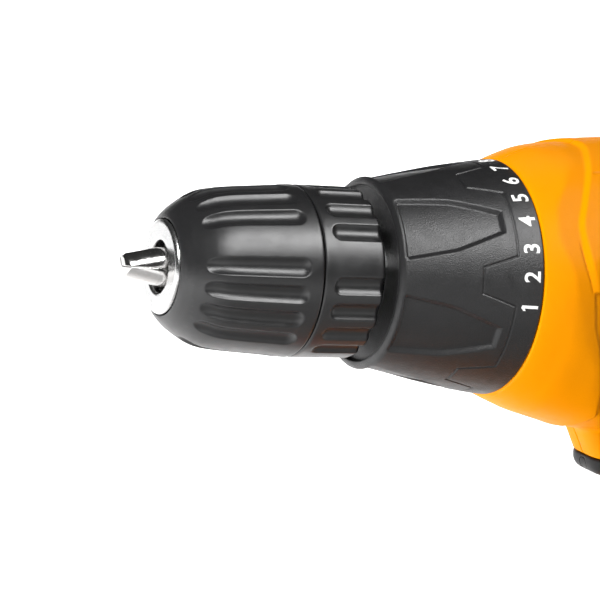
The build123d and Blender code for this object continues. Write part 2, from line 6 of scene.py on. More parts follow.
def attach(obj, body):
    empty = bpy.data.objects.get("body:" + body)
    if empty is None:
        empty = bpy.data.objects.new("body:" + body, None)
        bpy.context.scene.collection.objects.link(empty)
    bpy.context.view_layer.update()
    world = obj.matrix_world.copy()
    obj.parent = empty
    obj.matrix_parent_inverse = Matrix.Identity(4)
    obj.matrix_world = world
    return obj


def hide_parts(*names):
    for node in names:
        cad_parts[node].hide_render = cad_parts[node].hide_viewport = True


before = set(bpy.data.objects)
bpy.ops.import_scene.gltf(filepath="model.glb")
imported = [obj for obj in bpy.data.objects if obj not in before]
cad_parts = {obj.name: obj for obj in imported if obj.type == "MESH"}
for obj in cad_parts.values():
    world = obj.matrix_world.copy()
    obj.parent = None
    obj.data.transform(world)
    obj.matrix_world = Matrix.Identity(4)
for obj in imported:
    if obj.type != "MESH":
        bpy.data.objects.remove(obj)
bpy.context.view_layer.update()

XN, Z0 = -87.65, 158.0          # mm: front edge of the sleeve, spindle height
RD = math.pi / 180
f32 = np.float32


# ------------------------------------------------------------------ helpers
def sstep(a, b, x):
    t = np.clip((x - a) / (b - a), 0, 1)
    return t * t * (3 - 2 * t)


def smin(a, b, k):
    h = np.clip(0.5 + 0.5 * (b - a) / k, 0, 1)
    return b + (a - b) * h - k * h * (1 - h)


def smax(a, b, k):
    return -smin(-a, -b, k)


def interp(x, pts):
    return np.interp(x, [p[0] for p in pts], [p[1] for p in pts])


def curve(x, pts):
    """Smooth curve through points (monotone cubic)."""
    xs = np.array([p[0] for p in pts], float); ys = np.array([p[1] for p in pts], float)
    d = np.diff(ys) / np.diff(xs)
    m = np.zeros_like(ys)
    m[0], m[-1] = d[0], d[-1]
    for i in range(1, len(xs) - 1):
        m[i] = 0 if d[i - 1] * d[i] <= 0 else 2 * d[i - 1] * d[i] / (d[i - 1] + d[i])
    x = np.clip(x, xs[0], xs[-1])
    i = np.clip(np.searchsorted(xs, x) - 1, 0, len(xs) - 2)
    h = xs[i + 1] - xs[i]; t = (x - xs[i]) / h
    return (2 * t**3 - 3 * t**2 + 1) * ys[i] + (t**3 - 2 * t**2 + t) * h * m[i] + (-2 * t**3 + 3 * t**2) * ys[i + 1] + (t**3 - t**2) * h * m[i + 1]


def new_mesh(name, v, f, mat, body, replaced=(), smooth=True):
    """A mesh object from points in mm (station frame: s, y, height above the spindle) and quads or triangles."""
    v = np.asarray(v, float).copy()
    v[:, 0] += XN; v[:, 2] += Z0
    v *= 0.001
    me = bpy.data.meshes.new(name)
    f = np.asarray(f, np.int32)
    me.vertices.add(len(v)); me.vertices.foreach_set("co", v.ravel())
    n = f.shape[1]
    me.loops.add(f.size); me.loops.foreach_set("vertex_index", f.ravel())
    me.polygons.add(len(f))
    me.polygons.foreach_set("loop_start", np.arange(0, f.size, n, dtype=np.int32))
    me.polygons.foreach_set("loop_total", np.full(len(f), n, np.int32))
    me.update(calc_edges=True); me.validate()
    if smooth:
        me.polygons.foreach_set("use_smooth", np.ones(len(me.polygons), bool))
    o = bpy.data.objects.new(name, me)
    bpy.context.collection.objects.link(o)
    me.materials.append(mat)
    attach(o, body)
    if replaced:
        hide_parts(*replaced)
    return o


def turned(prof, n, radius=None):
    """Grid of points round the spindle from a profile of (s, r), with radius(s, r, psi) for relief. Closed both ways if the profile closes."""
    prof = np.array(prof, float)
    psi = np.arange(n) * 2 * math.pi / n
    s = np.repeat(prof[:, 0][:, None], n, 1); r = np.repeat(prof[:, 1][:, None], n, 1)
    ps = np.repeat(psi[None], len(prof), 0)
    if radius is not None:
        r = radius(s, r, ps)
    v = np.stack([s, -r * np.cos(ps), r * np.sin(ps)], -1).reshape(-1, 3)
    m = len(prof)
    i = np.arange(m)[:, None]; j = np.arange(n)[None]
    a = i * n + j; b = i * n + (j + 1) % n
    c = ((i + 1) % m) * n + (j + 1) % n; d = ((i + 1) % m) * n + j
    f = np.stack([a, b, c, d], -1).reshape(-1, 4)
    return v, f


def dense(pts, step, smooth=False):
    out = []
    for (a, ra), (b, rb) in zip(pts, pts[1:]):
        k = max(1, int(round(math.hypot(b - a, rb - ra) / step)))
        out += [(a + (b - a) * i / k, ra + (rb - ra) * i / k) for i in range(k)]
    return out + [pts[-1]]


def phi_of(psi):
    """Degrees from the side that faces the camera, upwards."""
    return (np.degrees(psi) - 10 + 180) % 360 - 180


# ------------------------------------------------------------------ solid forms by distance field
def surface_nets(fn, gx, gy, gz):
    """A quad mesh on the zero level of fn, over the grid lines gx, gy, gz. Blocks far from the surface are skipped."""
    ax = [np.asarray(g, float) for g in (gx, gy, gz)]
    n = [len(a) for a in ax]
    h = max(float(np.diff(a).max()) for a in ax)
    V = np.ones(n, f32)
    B = 12
    cs = [[(a, min(a + B + 1, n[k])) for a in range(0, n[k] - 1, B)] for k in range(3)]
    mids = [np.array([(ax[k][a] + ax[k][b - 1]) / 2 for a, b in cs[k]]) for k in range(3)]
    hal = [np.array([(ax[k][b - 1] - ax[k][a]) / 2 for a, b in cs[k]]) for k in range(3)]
    M = np.meshgrid(*mids, indexing="ij"); H = np.meshgrid(*hal, indexing="ij")
    mid = fn(*[m.ravel() for m in M]).reshape(M[0].shape)
    half = np.sqrt(H[0]**2 + H[1]**2 + H[2]**2)
    far = np.abs(mid) > half * 1.35 + 1.2
    near = []
    for i, j, k in np.ndindex(mid.shape):
        xa, xb = cs[0][i]; ya, yb = cs[1][j]; za, zb = cs[2][k]
        if far[i, j, k]:
            V[xa:xb, ya:yb, za:zb] = 1 if mid[i, j, k] > 0 else -1
        else:
            near.append((xa, xb, ya, yb, za, zb))
    for g in range(0, len(near), 60):
        parts = [np.meshgrid(ax[0][b[0]:b[1]], ax[1][b[2]:b[3]], ax[2][b[4]:b[5]], indexing="ij") for b in near[g:g + 60]]
        val = fn(*[np.concatenate([p[q].ravel() for p in parts]) for q in range(3)])
        at_ = 0
        for b, p in zip(near[g:g + 60], parts):
            V[b[0]:b[1], b[2]:b[3], b[4]:b[5]] = val[at_:at_ + p[0].size].reshape(p[0].shape)
            at_ += p[0].size
    V[V == 0] = 1e-6
    for k in range(3):   # closed at the edge of the grid
        for e in (0, -1):
            sl = [slice(None)] * 3; sl[k] = e
            V[tuple(sl)] = np.maximum(V[tuple(sl)], 1e-4)
    S_ = V < 0
    c = [q - 1 for q in n]
    cnt = np.zeros(c, np.uint8)
    for dx, dy, dz in np.ndindex(2, 2, 2):
        cnt += S_[dx:dx + c[0], dy:dy + c[1], dz:dz + c[2]]
    act = (cnt > 0) & (cnt < 8)
    ids = np.argwhere(act)
    index = np.full(c, -1, np.int32)
    index[act] = np.arange(len(ids))
    P = np.zeros((len(ids), 3)); W = np.zeros(len(ids))
    vals = {q: V[ids[:, 0] + q[0], ids[:, 1] + q[1], ids[:, 2] + q[2]].astype(float) for q in np.ndindex(2, 2, 2)}
    for q in np.ndindex(2, 2, 2):
        for k in range(3):
            if q[k] == 0:
                p = list(q); p[k] = 1
                a, b = vals[q], vals[tuple(p)]
                m = (a < 0) != (b < 0)
                t = np.where(m, a / np.where(m, a - b, 1), 0)
                pos = np.repeat(np.array([q], float), len(ids), 0); pos[:, k] = t
                P += pos * m[:, None]; W += m
    P = ids + P / W[:, None]
    P = np.stack([np.interp(P[:, k], np.arange(n[k]), ax[k]) for k in range(3)], -1)
    faces = []
    for k in range(3):
        u, w = (k + 1) % 3, (k + 2) % 3
        sa = [slice(1, n[q] - 1) for q in range(3)]; sb = list(sa)
        sa[k] = slice(0, n[k] - 1); sb[k] = slice(1, n[k])
        A, Bv = S_[tuple(sa)], S_[tuple(sb)]
        e = np.argwhere(A != Bv)
        if not len(e):
            continue
        inside = A[e[:, 0], e[:, 1], e[:, 2]]
        g = e.copy()
        for q in range(3):
            if q != k:
                g[:, q] += 1

        def cell(du, dw):
            cc = g.copy(); cc[:, u] -= du; cc[:, w] -= dw
            return index[cc[:, 0], cc[:, 1], cc[:, 2]]
        quad = np.stack([cell(1, 1), cell(0, 1), cell(0, 0), cell(1, 0)], -1)
        quad[~inside] = quad[~inside][:, ::-1]
        faces.append(quad)
    F = np.concatenate(faces)
    F = F[(F >= 0).all(1)]
    # onto the true surface
    eps = 0.02
    P0 = P.copy()
    for it in range(3):
        d = fn(P[:, 0], P[:, 1], P[:, 2])
        g = np.stack([fn(P[:, 0] + eps * (k == 0), P[:, 1] + eps * (k == 1), P[:, 2] + eps * (k == 2)) - d for k in range(3)], -1) / eps
        gg = np.maximum((g**2).sum(1), 0.15)
        P = P - (np.clip(d, -h, h) / gg)[:, None] * g * 0.9
    off = P - P0
    L = np.linalg.norm(off, axis=1)
    P = P0 + off * np.minimum(1, 0.8 * h / np.maximum(L, 1e-9))[:, None]
    return P, F


def axis_mix(a, b, c, d, fine, coarse):
    """Grid lines from a to d, fine between b and c."""
    out = [a]
    while out[-1] < d:
        x = out[-1]
        out.append(x + (fine if b <= x < c else coarse))
    return np.array(out)


def rbox2(x, y, cx, cy, hx, hy, r):
    qx = np.abs(x - cx) - (hx - r); qy = np.abs(y - cy) - (hy - r)
    return np.hypot(np.maximum(qx, 0), np.maximum(qy, 0)) + np.minimum(np.maximum(qx, qy), 0) - r


def rbox3(x, y, z, lo, hi, r):
    q = [np.abs(a - (l + u) / 2) - ((u - l) / 2 - r) for a, l, u in zip((x, y, z), lo, hi)]
    return np.sqrt(sum(np.maximum(k, 0)**2 for k in q)) + np.minimum(np.maximum(np.maximum(q[0], q[1]), q[2]), 0) - r


def segdist(u, v, a, b):
    """Distance in the plane from (u, v) to the segment a-b."""
    ax, ay = a; bx, by = b
    dx, dy = bx - ax, by - ay
    t = np.clip(((u - ax) * dx + (v - ay) * dy) / (dx * dx + dy * dy), 0, 1)
    return np.hypot(u - ax - t * dx, v - ay - t * dy)


def cyl(x, y, z, a, b, r):
    """A capped cylinder from a to b, roughly."""
    a, b = np.array(a, float), np.array(b, float)
    L = np.linalg.norm(b - a); d = (b - a) / L
    px, py, pz = x - a[0], y - a[1], z - a[2]
    t = px * d[0] + py * d[1] + pz * d[2]
    rr = np.sqrt(np.maximum(px * px + py * py + pz * pz - t * t, 0)) - r
    return np.maximum(rr, np.abs(t - L / 2) - L / 2)


# ------------------------------------------------------------------ materials
def material(name, color, rough, metal=0.0, spec=0.5, coat=0.0, grain=0.0, grain_size=0.3, wave=None, mottle=0.06, wear=0.0, aniso=0.0, blotch=0.0, transmission=0.0, edge=None, ior=1.5):
    """Procedural finish. Sizes in mm."""
    m = bpy.data.materials.new(name); m.use_nodes = True
    nt = m.node_tree; nd = nt.nodes; lk = nt.links
    b = nd["Principled BSDF"]
    tc = nd.new("ShaderNodeTexCoord")
    b.inputs["Metallic"].default_value = metal
    b.inputs["Specular IOR Level"].default_value = spec
    b.inputs["IOR"].default_value = ior
    b.inputs["Coat Weight"].default_value = coat
    b.inputs["Coat Roughness"].default_value = 0.15
    b.inputs["Anisotropic"].default_value = aniso
    b.inputs["Transmission Weight"].default_value = transmission
    big = nd.new("ShaderNodeTexNoise"); big.inputs["Scale"].default_value = 55; big.inputs["Detail"].default_value = 4
    lk.new(tc.outputs["Object"], big.inputs["Vector"])
    mid = nd.new("ShaderNodeTexNoise"); mid.inputs["Scale"].default_value = 420; mid.inputs["Detail"].default_value = 5
    lk.new(tc.outputs["Object"], mid.inputs["Vector"])
    ramp = nd.new("ShaderNodeMapRange"); ramp.inputs["From Min"].default_value = 0.3; ramp.inputs["From Max"].default_value = 0.7
    ramp.inputs["To Min"].default_value = 1 - mottle; ramp.inputs["To Max"].default_value = 1 + mottle
    lk.new(big.outputs["Fac"], ramp.inputs["Value"])
    mul = nd.new("ShaderNodeMix"); mul.data_type = "RGBA"; mul.blend_type = "MULTIPLY"; mul.inputs[0].default_value = 1
    mul.inputs[6].default_value = (*color, 1)
    lk.new(ramp.outputs[0], mul.inputs[7])
    last = mul.outputs[2]
    if grain:
        fine = nd.new("ShaderNodeTexNoise"); fine.inputs["Scale"].default_value = 1000 / grain_size; fine.inputs["Detail"].default_value = 2
        lk.new(tc.outputs["Object"], fine.inputs["Vector"])
        fr = nd.new("ShaderNodeMapRange"); fr.inputs["From Min"].default_value = 0.3; fr.inputs["From Max"].default_value = 0.7
        fr.inputs["To Min"].default_value = 1 - 1.2 * mottle; fr.inputs["To Max"].default_value = 1 + 1.2 * mottle
        lk.new(fine.outputs["Fac"], fr.inputs["Value"])
        m2 = nd.new("ShaderNodeMix"); m2.data_type = "RGBA"; m2.blend_type = "MULTIPLY"; m2.inputs[0].default_value = 1
        lk.new(last, m2.inputs[6]); lk.new(fr.outputs[0], m2.inputs[7]); last = m2.outputs[2]
        bump = nd.new("ShaderNodeBump"); bump.inputs["Strength"].default_value = grain; bump.inputs["Distance"].default_value = grain_size * 0.0002
        lk.new(fine.outputs["Fac"], bump.inputs["Height"])
        if wave:
            w = nd.new("ShaderNodeTexWave"); w.wave_type = "RINGS"; w.rings_direction = "X"; w.inputs["Scale"].default_value = 1000 / wave / 6.28
            w.inputs["Distortion"].default_value = 1.5; w.inputs["Detail"].default_value = 2
            off = nd.new("ShaderNodeVectorMath"); off.operation = "SUBTRACT"; off.inputs[1].default_value = (0, 0, Z0 / 1000)
            lk.new(tc.outputs["Object"], off.inputs[0]); lk.new(off.outputs[0], w.inputs["Vector"])
            b2 = nd.new("ShaderNodeBump"); b2.inputs["Strength"].default_value = grain; b2.inputs["Distance"].default_value = 0.00002
            lk.new(w.outputs["Fac"], b2.inputs["Height"]); lk.new(b2.outputs[0], bump.inputs["Normal"])
        lk.new(bump.outputs[0], b.inputs["Normal"])
    if wear:
        geo = nd.new("ShaderNodeNewGeometry")
        pr = nd.new("ShaderNodeMapRange"); pr.inputs["From Min"].default_value = 0.53; pr.inputs["From Max"].default_value = 0.62
        lk.new(geo.outputs["Pointiness"], pr.inputs["Value"])
        ml = nd.new("ShaderNodeMath"); ml.operation = "MULTIPLY"; ml.inputs[1].default_value = wear
        lk.new(pr.outputs[0], ml.inputs[0])
        m3 = nd.new("ShaderNodeMix"); m3.data_type = "RGBA"; m3.inputs[7].default_value = (*(edge or [min(1, c * 2.2 + 0.03) for c in color]), 1)
        lk.new(ml.outputs[0], m3.inputs[0]); lk.new(last, m3.inputs[6]); last = m3.outputs[2]
    lk.new(last, b.inputs["Base Color"])
    rr = nd.new("ShaderNodeMapRange"); rr.inputs["From Min"].default_value = 0.3; rr.inputs["From Max"].default_value = 0.7
    rr.inputs["To Min"].default_value = rough * (1 - 0.12 - blotch); rr.inputs["To Max"].default_value = min(1, rough * (1 + 0.12 + blotch))
    lk.new(mid.outputs["Fac"], rr.inputs["Value"]); lk.new(rr.outputs[0], b.inputs["Roughness"])
    return m


YELLOW = material("orange_plastic", (0.62, 0.205, 0.0), 0.42, spec=0.15, ior=1.2, grain=0.2, grain_size=0.35, mottle=0.012)
BLACK = material("black_plastic", (0.010, 0.010, 0.0105), 0.42, spec=0.45, grain=1.4, grain_size=0.27, mottle=0.12, wear=0.12)
SLEEVE = material("sleeve_plastic", (0.010, 0.010, 0.0105), 0.36, spec=0.55, grain=0.35, grain_size=0.2, mottle=0.08, wear=0.10)
# painted shade: the cap's black plastic is painted darker than black_plastic to take away light the cap gets from the
# low fill
CAP_SHADED = material("cap_plastic_painted_shade", (0.0055, 0.0055, 0.006), 0.46, spec=0.3, grain=0.5, grain_size=0.3, mottle=0.1, wear=0.06)
RUBBER = material("grip_rubber", (0.018, 0.018, 0.019), 0.62, spec=0.4, grain=1.0, grain_size=0.45, mottle=0.2, wear=0.15)
STEEL = material("turned_steel", (0.62, 0.62, 0.62), 0.26, metal=1, grain=0.35, grain_size=0.3, wave=0.18, mottle=0.04, aniso=0.4)
# painted shade: steel painted darker for the inside of bores, a shaded copy of the turned steel
BORE_STEEL_SHADED = material("bore_steel_painted_shade", (0.16, 0.155, 0.15), 0.45, metal=1, grain=0.4, grain_size=0.3, mottle=0.2)
JAW = material("polished_jaw_steel", (0.66, 0.65, 0.64), 0.17, metal=1, grain=0.25, grain_size=0.5, mottle=0.05, blotch=0.1)
ZINC = material("die_cast_zinc", (0.45, 0.45, 0.46), 0.45, metal=1, grain=0.7, grain_size=0.5, mottle=0.08)
SPRING = material("spring_steel", (0.42, 0.42, 0.43), 0.3, metal=1, grain=0.3, grain_size=0.3, mottle=0.08)
BRASS = material("brass", (0.72, 0.50, 0.2), 0.3, metal=1, grain=0.3, grain_size=0.4, mottle=0.06)
MAGNET = material("ferrite", (0.05, 0.05, 0.052), 0.6, metal=0.3, grain=0.9, grain_size=0.6, mottle=0.15)
COPPER = material("enamelled_copper", (0.60, 0.22, 0.09), 0.3, metal=0.9, grain=0.8, grain_size=0.8, mottle=0.15)
NYLON = material("white_nylon", (0.74, 0.73, 0.68), 0.5, grain=0.4, grain_size=0.6, mottle=0.04)
RED = material("red_insulation", (0.42, 0.02, 0.012), 0.45, grain=0.3, grain_size=0.5, mottle=0.08)
CELL = material("cell_wrap", (0.02, 0.16, 0.12), 0.3, coat=0.3, grain=0.3, grain_size=0.7, mottle=0.06)
NICKEL = material("nickel_plate", (0.62, 0.59, 0.54), 0.3, metal=1, grain=0.3, grain_size=0.5, mottle=0.06)
BOARD = material("solder_mask", (0.012, 0.10, 0.035), 0.4, grain=0.4, grain_size=0.8, mottle=0.1)
CARBON = material("carbon", (0.03, 0.03, 0.03), 0.55, metal=0.4, grain=0.6, grain_size=0.5, mottle=0.15)
# painted shade: near-black lens colour standing in for the shade of the lens recess in the cap, not a tint of the lens
LENS_PAINTED_SHADE = material("lens_painted_shade", (0.003, 0.003, 0.0035), 0.4, spec=0.25, coat=0.0, grain=0.1, grain_size=1.0, mottle=0.05)
WHITE = material("white_marking", (0.86, 0.86, 0.85), 0.5, grain=0.3, grain_size=0.3, mottle=0.03)
SCREW = material("black_oxide_screw", (0.07, 0.07, 0.07), 0.36, metal=0.9, grain=0.4, grain_size=0.4, mottle=0.1, wear=0.3)

# ------------------------------------------------------------------ chuck sleeves
def flute_depth(x, ph, centres, x0, x1, r_here, R=2.2, depth=0.98, half=1.85, open_rear=False):
    """Depth of rounded grooves. x in mm along the axis, ph in degrees."""
    best = np.full(x.shape, 1e9)
    for c in centres:
        d = (ph - c + 180) % 360 - 180
        best = np.minimum(best, np.abs(d))
    lat = best * RD * r_here
    ext = np.maximum(np.maximum(x0 + half - x, 0), 0 if open_rear else np.maximum(x - (x1 - half), 0))
    d = np.hypot(lat, ext)
    g = np.sqrt(np.maximum(R * R - d * d, 0)) - (R - depth)
    k = 0.12
    return np.where(d < R, 0.5 * (g + np.sqrt(g * g + k * k)), 0.5 * (-(R - depth) + np.sqrt((R - depth)**2 + k * k))) - 0.5 * (-(R - depth) + np.sqrt((R - depth)**2 + k * k))


S = 1.0315
FRONT = [(0.0, 10.25), (0.25, 10.75), (0.7, 11.4), (1.3, 12.0), (2.06, 12.72), (3.1, 13.5), (4.13, 14.2), (6.19, 15.4), (8.25, 16.2), (10.3, 16.62), (14.4, 17.05), (20.6, 17.5), (26.0, 17.9), (27.7, 17.98), (28.1, 17.85)]
xs = np.concatenate([np.arange(0, 4, 0.2), np.arange(4, 27.4, 0.26), np.linspace(27.4, 28.12, 7)])
outer = [(x, float(curve(x, FRONT))) for x in xs] + [(28.22, 17.6)]
inner = dense([(28.22, 17.4), (28.22, 15.1), (22.7, 15.1), (22.7, 14.1), (18.0, 14.1), (18.0, 11.65), (2.9, 11.65), (2.9, 9.93), (0.12, 9.93), (0.0, 10.0)], 0.8)
flutes = [38 + 18 * k for k in range(20) if k % 5 != 4]


def front_r(s, r, ps):
    d = flute_depth(s / S, phi_of(ps), flutes, 3.75, 24.55, 17.3 / S)
    fade = sstep(0.6, 3.9, s / S - 3.0)
    return np.where(r > 12.2, r - d * (0.55 + 0.45 * fade) * (s < 27.5), r)


v, f = turned(outer + inner, 760, front_r)
new_mesh("front_sleeve_skin", v, f, SLEEVE, "sleeve", ["front_sleeve"])

xs = np.concatenate([np.linspace(28.55, 29.3, 8), np.arange(29.5, 41.3, 0.25)])
outer = [(28.5, 17.6)] + [(x, 17.98 - 0.25 * math.exp(-(x - 28.55) / 0.2)) for x in xs] + [(41.45, 17.93), (41.85, 17.75), (42.15, 17.4), (42.3, 16.9)]
inner = dense([(42.3, 16.4), (37.2, 16.35), (37.2, 15.02), (28.6, 15.02), (28.5, 15.3), (28.5, 17.4)], 0.8)
rfl = [27 + 18 * k for k in range(20) if k % 5 != 4]


def rear_r(s, r, ps):
    d = flute_depth(s / S, phi_of(ps), rfl, 29.7, 60, 17.45, open_rear=True)
    return np.where(r > 16.8, np.maximum(r - d, 16.5), r)


v, f = turned(outer + inner, 760, rear_r)
new_mesh("rear_sleeve_skin", v, f, SLEEVE, "chuck", ["rear_sleeve"])

# ------------------------------------------------------------------ torque collar
CONE = [(45.3, 20.35), (49.5, 21.25), (55.7, 22.45), (61.9, 23.5), (68.1, 24.4), (74.6, 25.3), (75.2, 25.33)]
LIP = [(44.5, 18.95), (44.58, 19.35), (44.75, 19.7), (45.05, 20.05), (45.4, 20.32), (45.9, 20.5)]


def cone_r(s):
    return curve(s, CONE)


xs = np.arange(46.1, 74.75, 0.19)
outer = LIP + [(x, float(cone_r(x))) for x in xs] + [(74.9, 25.32), (75.0, 25.25), (75.1, 25.05)]
inner = dense([(75.1, 24.6), (75.1, 23.15), (69.3, 23.15), (69.3, 18.8), (46.6, 18.8), (46.6, 10.6), (46.3, 10.4), (45.9, 10.4), (45.7, 10.6), (45.6, 18.5), (44.75, 18.6), (44.55, 18.7)], 0.9)


def collar_r(s, r, ps):
    x = s / S; ph = phi_of(ps)
    out = r > 19.2
    d60 = (ph - 28.3 + 30) % 60 - 30
    w = interp(x, [(44.0, 19.3), (55.0, 14.5), (65.0, 5.3)])
    lat = (w - np.abs(d60)) * RD * r * 0.93
    d = np.minimum(lat, (65.0 - x) * S)
    rec = 0.85 * sstep(-0.55, 0.55, d) * sstep(44.1, 44.9, x)
    # thin joint line with hexagonal tabs
    t60 = np.abs((ph + 2 + 30) % 60 - 30) * RD * 23.7
    a, b = 6.5 * RD * 23.7, 12.3 * RD * 23.7
    X = x * S
    g = np.minimum(np.minimum(segdist(t60, X, (0, 61.9), (a, 61.9)), segdist(t60, X, (a, 61.9), (b, 69.4))), segdist(t60, X, (b, 69.4), (14, 69.4)))
    gr = 0.34 * np.exp(-(g / 0.14)**2)
    return np.where(out & (s < 74.8), r - rec * (s > 44.7) - gr * (s > 50), r)


v, f = turned(outer + inner, 1000, collar_r)
new_mesh("torque_collar_skin", v, f, BLACK, "collar", ["torque_collar"])


# numbers 1 to 18 and a drill mark
def glyph(text, height):
    cu = bpy.data.curves.new("g", "FONT"); cu.body = text; cu.size = 1; cu.align_x = "CENTER"; cu.offset = 0.018; cu.resolution_u = 6
    o = bpy.data.objects.new("g", cu); bpy.context.collection.objects.link(o)
    dg = bpy.context.evaluated_depsgraph_get()
    me = o.evaluated_get(dg).to_mesh()
    co = np.array([v.co[:] for v in me.vertices]); tri = []
    me.calc_loop_triangles()
    tri = np.array([t.vertices[:] for t in me.loop_triangles])
    bpy.data.objects.remove(o); bpy.data.curves.remove(cu)
    hgt = co[:, 1].max() - co[:, 1].min()
    k = height / 0.73
    co[:, 0] -= (co[:, 0].max() + co[:, 0].min()) / 2
    return co * k, tri


vs, fs, nn = [], [], 0
angles = [-14, 0.5, 14, 28, 41.5, 53.8, 67, 80.5] + [80.5 + 13.5 * k for k in range(1, 12)]
for k, ang in enumerate(angles):
    if k < 18:
        co, tri = glyph(str(k + 1), 3.6)
        if k == 0 or k >= 9:   # every 1 gets its flag
            x1 = co[:, 0].min() + (0.33 if k == 0 else 0.33)
            flag = np.array([(x1 - 0.28, 3.6, 0), (x1 + 0.05, 3.6, 0), (x1 + 0.05, 3.0, 0), (x1 - 0.85, 2.55, 0), (x1 - 0.85, 3.05, 0)])
            tri = np.concatenate([tri, np.array([(0, 3, 4), (0, 1, 2), (0, 2, 3)]) + len(co)]); co = np.concatenate([co, flag])
    else:   # a small drill bit
        pts = [(-2.0, 0.9), (-2.0, 2.7), (0.3, 2.7), (0.3, 2.2), (2.6, 2.2), (3.1, 1.8), (2.6, 1.4), (0.3, 1.4), (0.3, 0.9)]
        co = np.array([(a, b, 0) for a, b in pts]); tri = np.array([(0, 1, 2), (0, 2, 8), (8, 2, 3), (8, 3, 7), (7, 3, 4), (7, 4, 6), (6, 4, 5)])
    s_ = 74.15 - co[:, 1]
    if k >= 9 and k < 18:
        co[:, 0] *= 0.8
    rr = cone_r(s_) + 0.035
    psi = (ang + 10) * RD + co[:, 0] / rr
    # dense enough to lie on the cone
    vs.append(np.stack([s_, -rr * np.cos(psi), rr * np.sin(psi)], -1)); fs.append(tri + nn); nn += len(co)
digits = new_mesh("collar_numbers", np.concatenate(vs), np.concatenate(fs), WHITE, "collar")

# ------------------------------------------------------------------ steel nose and jaws
nose = [(-0.85, 5.75), (-0.85, 9.15), (-0.78, 9.35), (-0.55, 9.6), (-0.25, 9.72), (2.9, 9.72), (2.95, 11.4), (18.2, 11.4), (18.2, 8.6), (24.55, 8.6), (24.55, 14.9), (37.0, 14.9), (37.0, 9.5), (46.0, 9.5), (46.0, 4.85),
        (33.0, 4.85), (33.0, 2.6), (30.45, 2.6), (30.45, 4.3), (26.0, 4.3), (26.0, 5.35), (-0.35, 5.35), (-0.6, 5.5)]
v, f = turned(dense(nose, 0.35), 256)
o = new_mesh("chuck_nose", v, f, STEEL, "chuck", ["chuck_body"])

TAN = math.tan(14 * RD); CO, SI = math.cos(14 * RD), math.sin(14 * RD)


def jaw_fn(x, y, z):
    """Jaw at the top (+z)."""
    t = (x + 3.9) * CO + z * SI
    px, pz = x + 3.9 - t * CO, z - t * SI
    c = np.sqrt(px**2 + y * y + pz**2) - 3.3
    # a third of the circle: its sides are planes through the axis
    side = np.abs(y) * 0.5 - z * 0.8660254
    f = smax(c, side + 0.022, 0.05)
    f = smax(f, -8.7 - x, 0.1)
    cone = np.hypot(y, z) - (1.95 + (x + 8.7) * 0.75)
    f = smax(f, cone * 0.8, 0.06)
    f = np.maximum(f, x - 25.3)
    out = (x + 3.9) * TAN + 3.3 / CO
    tooth = np.hypot(y, z) - (out - 0.5 + np.abs(((x - 3.0) / 1.5 + 0.5) % 1 - 0.5))
    return np.maximum(f, np.where((x > 2.4) & (x < 25.2), tooth * 0.8, -1))


P, F = surface_nets(jaw_fn, axis_mix(-9.1, -9.1, 4.0, 25.8, 0.12, 0.3), np.arange(-4.2, 4.3, 0.12), axis_mix(-0.8, -0.8, 5.0, 11.7, 0.12, 0.2))
for i in range(3):
    th = (90 - (65 - 120 * i)) * RD
    Q = P.copy()
    Q[:, 1] = P[:, 1] * math.cos(th) - P[:, 2] * math.sin(th)
    Q[:, 2] = P[:, 1] * math.sin(th) + P[:, 2] * math.cos(th)
    new_mesh(f"jaw_{i + 1}_skin", Q, F, JAW, "jaw_" + "abc"[i], [f"jaw_{i + 1}"])

# ------------------------------------------------------------------ housing
R_A = [(72.9, 24.7), (74.0, 25.3), (76.0, 26.2), (78.0, 27.0), (80.0, 27.8), (82.0, 28.45), (84.0, 29.0), (86.0, 29.55), (88.0, 30.1), (90.0, 30.6), (92.0, 31.1), (94.0, 31.6), (97.0, 32.2)]
BARREL = [(75.3, 25.6), (76.4, 26.15), (78.4, 27.0), (80.5, 27.85), (82.5, 28.55), (84.6, 29.15), (88.7, 29.95), (92.8, 30.5), (97.0, 31.2), (106.0, 32.2), (120.0, 32.7), (140.0, 32.7), (156.0, 31.4), (166.0, 28.6), (171.5, 24.6), (173.2, 21.6), (174.0, 18.5)]
HANDLE = [(-14.0, 22.0, 118.0, 172.0, 15.0), (-30.0, 20.5, 122.5, 171.0, 15.0), (-48.0, 18.6, 127.5, 170.5, 14.0), (-68.0, 17.2, 129.5, 170.5, 13.5), (-88.0, 17.4, 130.5, 172.0, 13.5), (-100.0, 20.0, 127.0, 174.5, 14.0), (-107.0, 25.5, 118.0, 177.5, 15.0), (-113.0, 31.0, 104.0, 179.5, 16.0)]
BOSS = [(60.0, -20.0), (95.1, -20.0), (102.9, -34.0), (104.0, -35.8), (105.9, -39.4), (118.2, -39.4), (118.2, -46.6), (150.0, -46.6), (150.0, 0.0), (60.0, 0.0)]
RUB = [(178.0, 30.0), (160.0, 30.0), (158.0, 14.0), (158.0, -8.0), (154.0, -22.0), (148.0, -36.0), (142.0, -48.0), (139.0, -78.0), (125.0, -82.0), (122.0, -95.0), (124.0, -101.0), (182.0, -101.0), (182.0, -60.0), (180.0, -20.0)]
POSTS = [(128.0, 26.2, 15.5), (166.5, 12.0, 19.5), (163.5, -28.5, 15.0), (165.5, -88.0, 12.5), (138.0, -84.5, 12.5), (131.0, -104.0, 15.5), (168.5, -104.0, 15.5)]
B1X = [(-110, 90), (-90, 91), (-80, 92.5), (-68, 93), (-55, 90), (-40, 87), (-25, 83), (-10, 80), (5, 78), (20, 76), (30, 76.5), (45, 80), (60, 84), (80, 86), (95, 86)]
B2X = [(-6, 83), (10, 81), (22, 80.5), (35, 82.4), (55, 86.3), (75, 89.5), (95, 89.5)]
B3X = [(-110, 90), (-78, 92), (-65, 93), (-50, 90), (-40, 88), (-30, 86), (-20, 84), (-6, 83)]


